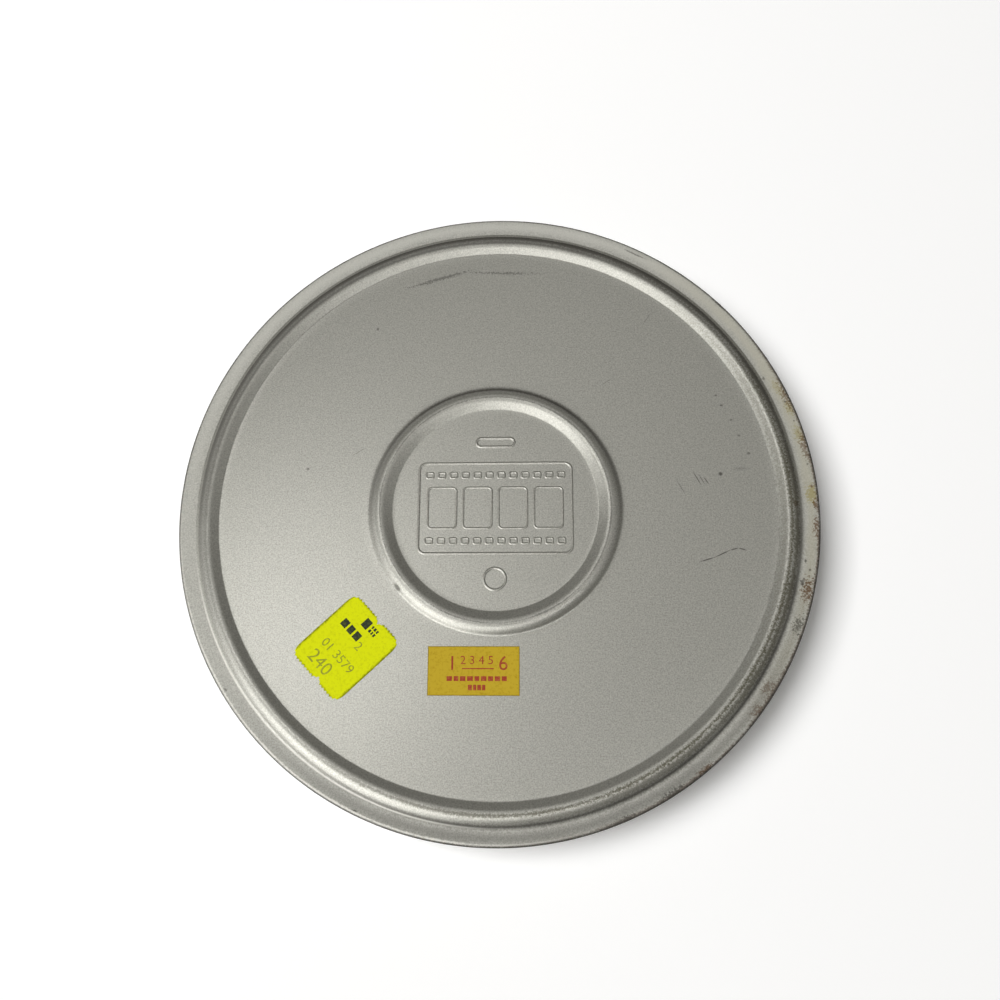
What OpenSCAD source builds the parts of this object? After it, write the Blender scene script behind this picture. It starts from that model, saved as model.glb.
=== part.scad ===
// Round pressed-steel can for one 400 ft take-up reel of narrow-gauge film.
// A deep base takes the reel, and a slip-over lid closes it. Both faces carry the same
// two raised ring beads, so that cans nest when they are stacked. The origin is on the
// resting plane, under the middle of the can, with +Z up and the labels near -Y.

/* [Sheet steel] */
// Thickness of the steel sheet that both halves are pressed from
sheet_t = 0.4; // [0.3:0.05:0.6]
// Inside radius of the bend where a face turns into its wall
bend_r = 0.6; // [0.4:0.1:1]

/* [Lid] */
// Height of the lid's skirt, from the rim's edge down to the bottom of its roll
skirt_h = 13; // [9:0.5:14]
// Outside diameter of the roll that turns the skirt's cut edge inwards
curl_d = 1.6; // [1.4:0.1:2.2]
// How far round the skirt's edge is rolled, in degrees
curl_turn = 270; // [200:10:290]
// Width of the rim outside the outer bead
rim_w = 4.8; // [4:0.05:6]
// Rise of the dished rim, from the outer bead's foot out to the bend
rim_rise = 0.65; // [0:0.05:1]

/* [Ring beads] */
// Height of the ring beads above the flat of either face
bead_h = 1.6; // [0.8:0.1:2]
// Share of a bead's slope towards the middle that is its round crown
crown_in = 0.4; // [0.3:0.05:0.6]
// Share of that slope that is its hollow foot, with a straight side between the two
foot_in = 0.1; // [0.05:0.05:0.3]
// Share of a bead's outward slope that is its round crown
crown_out = 0.75; // [0.4:0.05:0.8]
// Share of that slope that is its hollow foot, with a straight side between the two
foot_out = 0.2; // [0.05:0.05:0.2]
// Width of the outer bead's slope that looks outwards
outer_bead_out_w = 3.85; // [2.5:0.05:5]
// Width of the outer bead's slope that looks to the middle
outer_bead_in_w = 3.15; // [2.5:0.05:5]
// Diameter of the inner bead, across its crest
inner_bead_d = 66.4; // [64:0.1:80]
// Width of either slope of the inner bead
inner_bead_w = 3.7; // [2.5:0.1:4.5]

/* [Embossed frame] */
// Width of the rounded frame in the middle of the lid
frame_w = 45; // [30:0.5:48]
// Height of that frame
frame_h = 27.5; // [20:0.5:30]
// Radius of the frame's corners, at their outside
frame_corner = 2.6; // [1.5:0.1:5]
// Width of the raised line
line_w = 0.9; // [0.7:0.1:1.5]
// Height of the raised line
line_h = 0.25; // [0.1:0.05:0.35]

/* [Labels] */
// Thickness of the paper of both labels
paper_t = 0.1; // [0.08:0.01:0.2]
// Width of the title label
title_w = 25.4; // [20:0.1:34]
// Height of the title label
title_h = 13.4; // [10:0.1:18]
// Distance from the middle of the can to the middle of the title label, to the left
title_left = 5.7; // [0:0.1:10]
// Gap between the inner bead's foot and the title label
title_gap = 2.5; // [1:0.5:8]
// Width of the price label, along its print
price_w = 19.4; // [14:0.1:24]
// Height of the price label, with its teeth
price_h = 24.3; // [18:0.1:30]
// Direction of the price label from the middle, in degrees from +X
price_az = 223.8; // [200:0.1:240]
// Turn of the price label's print, in degrees
price_turn = -47; // [-90:1:90]
// How far the price label lies inside the middle of the flat panel
price_in = 1.1; // [0:0.1:3]
// Number of teeth along each cut edge of the price label
price_teeth = 18; // [6:1:24]
// Depth of those teeth
tooth_depth = 0.5; // [0.3:0.1:1]

/* [Reel] */
// Outside diameter of the reel
reel_d = 177.8; // [170:0.1:190]
// Thickness of either flange
flange_t = 1.4; // [1.2:0.1:2]
// Clear width between the flanges, for the film
film_gap = 9.4; // [8.6:0.1:10]
// Width of the closed rim of a flange, outside its windows
flange_rim_w = 11; // [8:0.5:16]
// Width of the closed ring of a flange, between the hub and its windows
flange_hub_w = 8; // [5:0.5:12]
// Width of the spokes between the windows
spoke_w = 16; // [10:0.5:24]
// Number of windows in a flange
windows = 3; // [3:1:5]
// Radius of the windows' corners
window_corner = 6; // [3:0.5:8]
// Diameter of the raised boss round the spindle hole
boss_d = 28; // [24:0.5:32]
// Height of that boss
boss_h = 0.4; // [0.2:0.1:0.6]

/* [Hub] */
// Diameter of the hub that the film winds on, at the root of its teeth
hub_d = 60; // [50:1:70]
// Wall of the hub
hub_wall = 2.2; // [1.6:0.1:3]
// Number of gripping teeth round the hub
hub_teeth = 48; // [24:1:72]
// Height of the gripping teeth
hub_tooth_h = 0.5; // [0.3:0.1:1]
// Number of slots that take the film's end
film_slots = 3; // [1:1:3]
// Width of those slots
film_slot_w = 1.4; // [1:0.1:2]
// Slant of those slots from the radius, in degrees
film_slot_slant = 50; // [0:5:55]
// Diameter of the spindle hole
spindle_d = 12.7; // [8:0.1:14]
// Width of the spindle hole's keyways
keyway_w = 2; // [1.5:0.1:3]
// Depth of the keyways below the hole's wall
keyway_depth = 1.8; // [1:0.1:2.5]
// Wall of the hub's middle sleeve, outside the keyways
sleeve_wall = 1.6; // [1.2:0.1:2.5]
// Number of keyways round the spindle hole
keyways = 3; // [1:1:4]
// Number of ribs between the sleeve and the hub's wall
ribs = 6; // [3:3:9]
// Width of the ribs
rib_w = 5.4; // [4.5:0.1:7]
// Diameter of the pegs that hold the flanges
peg_d = 3.6; // [2.5:0.1:4]
// Diameter of the heads that the pegs are staked to
peg_head_d = 5.2; // [4.6:0.1:6]
// Height of those heads
peg_head_h = 0.35; // [0.2:0.05:0.6]

/* [Fits] */
// Radial gap between the roll of the lid's edge and the base's wall
lid_fit = 0.15; // [0.1:0.05:0.3]
// Gap between the base's top edge and the lid that rests on it
lid_seat = 0.1; // [0.05:0.05:0.3]
// Radial gap between the reel and the base's wall
reel_play = 0.95; // [0.5:0.05:2]
// Gap between the beads' crests and the reel that lies on them
reel_seat = 0.2; // [0.1:0.05:0.3]
// Free height above the reel, under the lid
headroom = 1.2; // [0.6:0.1:3]
// Radial gap between a peg and its hole
peg_fit = 0.05; // [0.03:0.01:0.15]

/* [Hidden] */
$fn = 96;
// Steps along one slope of a bead, and round a bend, a roll and a flange's edge
SLOPE_STEPS = 8;
BEND_STEPS = 6;
CURL_STEPS = 14;
EDGE_STEPS = 10;
// Facets of a full circle at small corners, and round a window's inside and outside
CORNER_FACETS = 32;
WINDOW_IN_FACETS = 48;
WINDOW_OUT_FACETS = 72;
// Where a gripping tooth has its tip, as a share of the pitch
TOOTH_TIP = 0.8;
// Length of a film slot's cut, in walls of the hub
SLOT_REACH = 4;
// How much narrower on each side the raised line is inside, as a share of its width
LINE_INSET = 0.25;
// Overshoot of a cut past the faces that it goes through
CUT = 1;

// Radii, from the reel outwards
reel_r = reel_d / 2;
base_in_r = reel_r + reel_play;
base_r = base_in_r + sheet_t;
lid_r = base_r + lid_fit + curl_d;
bend_out_r = bend_r + sheet_t;
curl_r = curl_d / 2;

// Radii of the beads, which are the same on both halves
rim_in_r = lid_r - rim_w;
rim_out_r = lid_r - bend_out_r;
outer_bead_r = rim_in_r - outer_bead_out_w;
outer_bead_foot_r = outer_bead_r - outer_bead_in_w;
inner_bead_r = inner_bead_d / 2;
inner_bead_foot_r = inner_bead_r + inner_bead_w;

// Levels, from the resting plane upwards
reel_z = sheet_t + bead_h + reel_seat;
core_z = reel_z + flange_t;
upper_flange_z = core_z + film_gap;
lid_under_z = upper_flange_z + flange_t + boss_h + headroom;
lid_z = lid_under_z + sheet_t;
rim_edge_z = lid_z + rim_rise;
base_top_z = lid_under_z + rim_rise * (base_in_r - rim_in_r) / (rim_out_r - rim_in_r) - lid_seat;
curl_z = rim_edge_z - skirt_h + curl_r;

// Places of the labels on the flat panel between the beads
title_y = -(inner_bead_foot_r + title_gap + title_h / 2);
price_r = (inner_bead_foot_r + outer_bead_foot_r) / 2 - price_in;

// Radii inside the reel
hub_r = hub_d / 2;
hub_in_r = hub_r - hub_wall;
spindle_r = spindle_d / 2;
sleeve_r = spindle_r + keyway_depth + sleeve_wall;
peg_r = (sleeve_r + hub_in_r) / 2;
window_in_r = hub_r + flange_hub_w;
window_out_r = reel_r - flange_rim_w;

// Points of an arc round c, from angle a0 to a1
function arc(c, r, a0, a1, steps) =
    [for (i = [0:steps]) let (a = a0 + (a1 - a0) * i / steps) c + r * [cos(a), sin(a)]];

// Height of one slope at x, as a share: 1 on the crest at x = 0, and 0 at the foot at x = 1.
// It steepens over the crown, falls straight along the side and levels out over the foot.
function slope(x, crown, foot) = let (fall = 1 / (1 - (crown + foot) / 2))
    x < crown ? 1 - fall * x * x / (2 * crown) :
    x < 1 - foot ? fall * (1 - foot / 2 - x) :
    fall * (1 - x) * (1 - x) / (2 * foot);

// Height of a bead at x, as a share, from its foot towards the middle at x = -1 to the other at 1
function bead(x) = x < 0 ? slope(-x, crown_in, foot_in) : slope(x, crown_out, foot_out);

// Points of one stretch of a bead at the level z, from x = x0 to x1, with its crest at r
function bead_line(r, w, z, x0, x1) =
    [for (i = [x0 * SLOPE_STEPS:x1 * SLOPE_STEPS])
        let (x = i / SLOPE_STEPS) [r + w * x, z + bead_h * bead(x)]];

// A list from its last item to its first
function back(list) = [for (i = [len(list) - 1:-1:0]) list[i]];

// Half section of a pressed face at the level z, from the middle out to the foot of the outer bead
function face_line(z) = concat(
    [[0, z]],
    bead_line(inner_bead_r, inner_bead_w, z, -1, 1),
    bead_line(outer_bead_r, outer_bead_in_w, z, -1, 0),
    bead_line(outer_bead_r, outer_bead_out_w, z, 1 / SLOPE_STEPS, 1)
);

// Half section of the base: its face with the beads upwards, the bend and the plain wall
module base_section() {
    bend = [base_r - bend_out_r, bend_out_r];
    polygon(concat(
        face_line(0),
        arc(bend, bend_out_r, -90, 0, BEND_STEPS),
        [[base_r, base_top_z], [base_in_r, base_top_z]],
        arc(bend, bend_r, 0, -90, BEND_STEPS),
        back(face_line(sheet_t))
    ));
}

// Half section of the lid: its face, the dished rim, the bend, the skirt and the roll
module lid_section() {
    bend = [rim_out_r, rim_edge_z - bend_out_r];
    curl = [lid_r - curl_r, curl_z];
    polygon(concat(
        face_line(lid_z),
        arc(bend, bend_out_r, 90, 0, BEND_STEPS),
        arc(curl, curl_r, 0, -curl_turn, CURL_STEPS),
        arc(curl, curl_r - sheet_t, -curl_turn, 0, CURL_STEPS),
        arc(bend, bend_r, 0, 90, BEND_STEPS),
        back(face_line(lid_under_z))
    ));
}

// Rounded rectangle, from its outside width and height
module rounded(w, h, r) {
    offset(r = r, $fn = CORNER_FACETS)
        square([w - 2 * r, h - 2 * r], center = true);
}

// Outline of the raised frame, drawn in from both sides by inset
module frame_line(inset = 0) {
    difference() {
        rounded(frame_w - 2 * inset, frame_h - 2 * inset, frame_corner - inset);
        rounded(frame_w - 2 * (line_w - inset), frame_h - 2 * (line_w - inset),
                frame_corner - line_w + inset);
    }
}

// The keyed spindle hole, as it goes through flanges and hub
module spindle_hole() {
    circle(r = spindle_r);
    for (i = [0:keyways - 1])
        rotate(360 / keyways * i + 90)
            translate([0, -keyway_w / 2])
                square([spindle_r + keyway_depth, keyway_w]);
}

// Copies its children to each peg, on the ribs of the hub
module at_pegs() {
    for (i = [0:ribs - 1])
        rotate(360 / ribs * i)
            translate([peg_r, 0])
                children();
}

// The windows of a flange: a ring cut by the spokes, with rounded corners
module flange_windows() {
    offset(r = window_corner, $fn = CORNER_FACETS)
        offset(delta = -window_corner)
            difference() {
                circle(r = window_out_r, $fn = WINDOW_OUT_FACETS);
                circle(r = window_in_r, $fn = WINDOW_IN_FACETS);
                for (i = [0:windows - 1])
                    rotate(360 / windows * i - 90)
                        translate([0, -spoke_w / 2])
                            square([reel_r, spoke_w]);
            }
}

// One flange, with its outer face and boss upwards and its film side at z = 0
module flange() {
    edge = [reel_r - flange_t / 2, flange_t / 2];
    difference() {
        union() {
            rotate_extrude()
                polygon(concat(
                    [[0, 0]],
                    arc(edge, flange_t / 2, -90, 90, EDGE_STEPS),
                    [[0, flange_t]]
                ));
            cylinder(d = boss_d, h = flange_t + boss_h);
        }
        translate([0, 0, -CUT])
            linear_extrude(flange_t + boss_h + 2 * CUT) {
                spindle_hole();
                at_pegs() circle(r = peg_d / 2 + peg_fit);
            }
        translate([0, 0, -CUT])
            linear_extrude(flange_t + 2 * CUT)
                flange_windows();
    }
}

// Cross section of the hub: toothed wall with the film slots, ribs and keyed sleeve
module hub_section() {
    pitch = 360 / hub_teeth;
    difference() {
        union() {
            difference() {
                polygon([for (i = [0:hub_teeth - 1], tip = [0, 1])
                    let (a = pitch * (i + TOOTH_TIP * tip))
                        (hub_r + hub_tooth_h * tip) * [cos(a), sin(a)]]);
                circle(r = hub_in_r);
                for (i = [0:film_slots - 1])
                    rotate(360 / film_slots * i + 180 / ribs)
                        translate([hub_r - hub_wall / 2, 0])
                            rotate(film_slot_slant)
                                square([SLOT_REACH * hub_wall, film_slot_w], center = true);
            }
            circle(r = sleeve_r);
            for (i = [0:ribs - 1])
                rotate(360 / ribs * i)
                    translate([spindle_r, -rib_w / 2])
                        square([hub_r - hub_wall / 2 - spindle_r, rib_w]);
        }
        spindle_hole();
    }
}

// One staked peg, standing on the end face of the hub
module peg() {
    cylinder(d = peg_d, h = flange_t);
    translate([0, 0, flange_t])
        cylinder(d1 = peg_head_d, d2 = peg_d, h = peg_head_h);
}

module can_base() {
    color("silver")
        rotate_extrude()
            base_section();
}

module can_lid() {
    color("silver")
        difference() {
            union() {
                rotate_extrude()
                    lid_section();
                translate([0, 0, lid_z - sheet_t / 2])
                    linear_extrude(sheet_t / 2 + line_h)
                        frame_line();
            }
            translate([0, 0, lid_under_z - CUT])
                linear_extrude(CUT + line_h)
                    frame_line(inset = LINE_INSET * line_w);
        }
}

module title_label() {
    color("goldenrod")
        translate([-title_left, title_y, lid_z])
            linear_extrude(paper_t)
                square([title_w, title_h], center = true);
}

module price_label() {
    pitch = price_w / price_teeth;
    edge = [for (i = [0:price_teeth - 1], x = [0, 0.5])
        [pitch * (i + x) - price_w / 2, price_h / 2 - tooth_depth * (1 - 2 * x)]];
    last = [[price_w / 2, price_h / 2 - tooth_depth]];
    top = concat(edge, last);
    color("yellow")
        rotate(price_az)
            translate([price_r, 0, lid_z])
                rotate(price_turn - price_az)
                    linear_extrude(paper_t)
                        polygon(concat(top, [for (p = back(top)) [p[0], -p[1]]]));
}

module reel_lower_flange() {
    color("dimgray")
        translate([0, 0, core_z])
            mirror([0, 0, 1])
                flange();
}

module reel_upper_flange() {
    color("dimgray")
        translate([0, 0, upper_flange_z])
            flange();
}

module reel_core() {
    color("gray") {
        translate([0, 0, core_z])
            linear_extrude(film_gap)
                hub_section();
        translate([0, 0, upper_flange_z])
            at_pegs() peg();
        translate([0, 0, core_z])
            mirror([0, 0, 1])
                at_pegs() peg();
    }
}

can_base();
can_lid();
title_label();
price_label();
reel_lower_flange();
reel_upper_flange();
reel_core();
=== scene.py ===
"""Dresses a round pressed-steel film can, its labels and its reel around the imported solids.

All shapes are worked out in millimetres, in the frame of the solids, and become metres when
they go into a mesh. The lid's plane and radius come from the frame.
"""

import logging
from collections.abc import Iterable
from dataclasses import dataclass
from enum import Enum

import bpy
import numpy as np
from bpy.types import Material, NodeSocket, NodeTree, Object
from mathutils import Matrix, Vector


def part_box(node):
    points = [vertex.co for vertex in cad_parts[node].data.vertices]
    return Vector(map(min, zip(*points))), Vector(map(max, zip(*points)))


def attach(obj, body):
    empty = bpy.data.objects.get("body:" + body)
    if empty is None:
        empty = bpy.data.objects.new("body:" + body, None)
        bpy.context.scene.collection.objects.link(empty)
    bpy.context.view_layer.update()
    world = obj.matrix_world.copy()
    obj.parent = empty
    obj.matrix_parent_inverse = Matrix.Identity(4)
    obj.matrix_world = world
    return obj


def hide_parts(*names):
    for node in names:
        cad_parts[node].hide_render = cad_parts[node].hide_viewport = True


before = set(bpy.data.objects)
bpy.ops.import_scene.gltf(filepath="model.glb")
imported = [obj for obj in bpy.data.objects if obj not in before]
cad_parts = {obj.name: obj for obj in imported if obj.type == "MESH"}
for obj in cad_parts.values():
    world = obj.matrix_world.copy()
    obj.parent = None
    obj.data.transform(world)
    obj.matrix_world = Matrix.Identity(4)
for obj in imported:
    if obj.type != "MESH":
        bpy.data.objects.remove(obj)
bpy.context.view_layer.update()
MM = 0.001
RELIEF_MM = 0.02  # depth of the fine texture of lacquer, paper and plastic
CAP_HEIGHT = 0.7  # height of a figure, as a share of the font's size
STROKE_OVERLAP = 1.35  # length of a stroke's ovals, whose ends fade, as a share of the stretch
ALL_ROUND = 180.0  # spread of a ring that doesn't fade out
log = logging.getLogger("film_can")

Shape = tuple[np.ndarray, list]


class Body(Enum):
    """The rigid bodies that pieces ride on."""

    BASE = "base"
    LID = "lid"
    REEL = "reel"


class Slot(Enum):
    """The record's material slots."""

    LACQUER = "silver_lacquer"
    GOLD_PAPER = "gold_paper"
    YELLOW_PAPER = "yellow_paper"
    PLASTIC = "reel_plastic"


def linear(hex_colour: str) -> tuple[float, float, float, float]:
    """Turns an sRGB hex value into linear colour.

    Args:
        hex_colour: six hex digits, such as "A8A69E".

    Returns:
        Red, green, blue and alpha, each from 0 to 1.
    """
    srgb = np.array([int(hex_colour[i:i + 2], 16) / 255 for i in (0, 2, 4)])
    rgb = np.where(srgb <= 0.04045, srgb / 12.92, ((srgb + 0.055) / 1.055) ** 2.4)
    return (*map(float, rgb), 1.0)


def add_node(
    tree: NodeTree, kind: str, inputs: dict | None = None, out: int | str = 0, **settings: str
) -> NodeSocket | None:
    """Adds one node with its settings, values and links.

    Args:
        tree: the node tree that gets it.
        kind: the node's type, without the ShaderNode that each type begins with.
        inputs: socket name or number, to a value or to the output socket that is linked to it.
        out: name or number of the wanted output.
        settings: the node's own properties.

    Returns:
        The output socket, if the node has any.
    """
    node = tree.nodes.new("ShaderNode" + kind)
    for name, value in settings.items():
        setattr(node, name, value)
    for key, value in (inputs or {}).items():
        if isinstance(value, NodeSocket):
            tree.links.new(value, node.inputs[key])
        else:
            node.inputs[key].default_value = value
    return node.outputs[out] if node.outputs else None


def empty_material(name: str) -> tuple[Material, NodeTree]:
    """Makes a material without any nodes.

    Args:
        name: the finish's name.

    Returns:
        The material and its node tree.
    """
    material = bpy.data.materials.new(name)
    material.use_nodes = True
    material.node_tree.nodes.clear()
    return material, material.node_tree


def clouded(
    tree: NodeTree,
    place: NodeSocket,
    size_mm: float,
    detail: float,
    rough: float,
    limits: tuple[float, float],
    tones: tuple[str, str],
) -> tuple[NodeSocket, NodeSocket]:
    """Fades from one colour to another by a noise.

    Args:
        tree: the material's nodes.
        place: the coordinates in millimetres.
        size_mm: the size of the noise's spots.
        detail: how many finer layers the noise has.
        rough: how strong those layers are.
        limits: the noise's values where the first and the second tone are pure.
        tones: the two colours.

    Returns:
        The colour, and the noise.
    """
    spots = {"Vector": place, "Scale": 1 / size_mm, "Detail": detail, "Roughness": rough}
    noise = add_node(tree, "TexNoise", spots)
    low, high = limits
    share = add_node(tree, "MapRange", {"Value": noise, "From Min": low, "From Max": high})
    first, second = map(linear, tones)
    colour = add_node(tree, "Mix", {0: share, 6: first, 7: second}, 2, data_type="RGBA")
    return colour, noise


def textured(
    tree: NodeTree, place: NodeSocket, size_mm: float, detail: float, strength: float
) -> NodeSocket:
    """Gives a surface a fine relief of noise.

    Args:
        tree: the material's nodes.
        place: the coordinates in millimetres.
        size_mm: the size of the noise's spots.
        detail: how many finer layers the noise has.
        strength: how strong the relief is.

    Returns:
        The normal.
    """
    noise = add_node(tree, "TexNoise", {"Vector": place, "Scale": 1 / size_mm, "Detail": detail})
    relief = {"Strength": strength, "Distance": RELIEF_MM * MM, "Height": noise}
    return add_node(tree, "Bump", relief)


def faded(
    tree: NodeTree,
    value: NodeSocket,
    core: float,
    edge: float,
    strength: float = 1.0,
    noises: Iterable[tuple[NodeSocket, float]] = (),
) -> NodeSocket:
    """Masks what lies within an edge, fading from a core outwards, with noise to fray it.

    Args:
        tree: the tree that gets the nodes.
        value: what is measured against core and edge.
        core: the value at full strength.
        edge: the value where nothing is left.
        strength: the full strength.
        noises: each noise, with the range by which it shifts the value.

    Returns:
        The mask, from 0 to the strength.
    """
    for noise, reach in noises:
        shifted = {0: noise, 1: reach, 2: value}
        value = add_node(tree, "Math", shifted, operation="MULTIPLY_ADD")
        core, edge = core + reach / 2, edge + reach / 2
    limits = {"Value": value, "From Min": edge, "From Max": core, "To Max": strength}
    return add_node(tree, "MapRange", limits, interpolation_type="SMOOTHSTEP")


def looked_at(tree: NodeTree, mirrored: float = 1.0) -> NodeSocket:
    """Tells what the camera looks at, straight or in a reflection, from what lights the object.

    Args:
        tree: the tree that gets the nodes.
        mirrored: what a reflection gets, where the straight look gets 1.

    Returns:
        A value from 0 to 1.
    """
    rays = add_node(tree, "LightPath").node.outputs
    turned = {0: rays["Is Glossy Ray"], 1: rays["Is Transmission Ray"]}
    turned = add_node(tree, "Math", turned, operation="MAXIMUM")
    turned = add_node(tree, "Math", {0: turned, 1: mirrored}, operation="MULTIPLY")
    return add_node(tree, "Math", {0: rays["Is Camera Ray"], 1: turned}, operation="MAXIMUM")


class Finish:
    """A surface finish, which makes one material with a principled shader."""

    name: str

    def inputs(self, tree: NodeTree, place: NodeSocket) -> dict:
        """Adds the finish's nodes.

        Args:
            tree: the material's nodes.
            place: a piece's Object coordinates in millimetres, so that patterns have real sizes.

        Returns:
            The shader's values and links.
        """
        raise NotImplementedError

    def material(self) -> Material:
        """Makes the material.

        Returns:
            The material.
        """
        material, tree = empty_material(self.name)
        metres = add_node(tree, "TexCoord", out="Object")
        place = add_node(tree, "VectorMath", {0: metres, "Scale": 1 / MM}, operation="SCALE")
        shader = add_node(tree, "BsdfPrincipled", self.inputs(tree, place))
        add_node(tree, "OutputMaterial", {"Surface": shader})
        return material


class Tone(Enum):
    """What a ring or mark shows, with its colour, in the order in which one lies over another.

    Chalk and painted light is weathered lacquer, which also paints the rim lighter on one side; a
    stain is yellowed lacquer, soil is brown dirt, grime and painted shade is grey dirt that also
    paints shade, and a painted highlight is a pale painted glint.
    """

    CHALK_AND_PAINTED_LIGHT = "CFCEC6"
    STAIN = "9A8E4E"
    RUST = "5E4022"
    SOIL = "433F2A"
    GRIME_AND_PAINTED_SHADE = "474540"
    PAINTED_HIGHLIGHT = "E4E2DA"


@dataclass(frozen=True)
class Mark:
    """An oval mark on the lid, in millimetres and degrees, which grit breaks into specks."""

    x: float
    y: float
    turn: float
    length: float
    width: float
    strength: float
    grit: float
    tone: Tone = Tone.GRIME_AND_PAINTED_SHADE

    @classmethod
    def on_rim(cls, azimuth: float, radius: float, *rest: float | Tone) -> "Mark":
        """Places a mark by its direction and radius, turned along the rim."""
        a = np.radians(azimuth)
        return cls(radius * np.cos(a), radius * np.sin(a), azimuth + 90, *rest)

    @classmethod
    def stroke(
        cls, points: tuple[tuple[float, float], ...], width: float, strength: float
    ) -> list["Mark"]:
        """Draws a thin line through points, as one long oval for each stretch.

        Args:
            points: the line's points.
            width: the line's width.
            strength: how strong the line is.

        Returns:
            The marks.
        """
        ends = np.array(points)
        along = np.diff(ends, axis=0)
        middles = (ends[1:] + ends[:-1]) / 2
        lengths = np.hypot(*along.T) * STROKE_OVERLAP
        turns = np.degrees(np.arctan2(along[:, 1], along[:, 0]))
        stretches = zip(middles, turns, lengths)
        return [cls(*m, turn, length, width, strength, 0.0) for m, turn, length in stretches]


@dataclass(frozen=True)
class Ring:
    """A ring round the can, in millimetres, with a ragged edge: rubbed lacquer, dirt, painted
    shade or a painted highlight.

    Its height is above the lid's flat. Unless it goes all round, it fades out by its spread, in
    degrees, to either side of its azimuth.
    """

    tone: Tone
    radius: float
    height: float
    half_width: float
    strength: float
    ragged: float
    patchy: float
    azimuth: float = 0.0
    spread: float = ALL_ROUND


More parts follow.
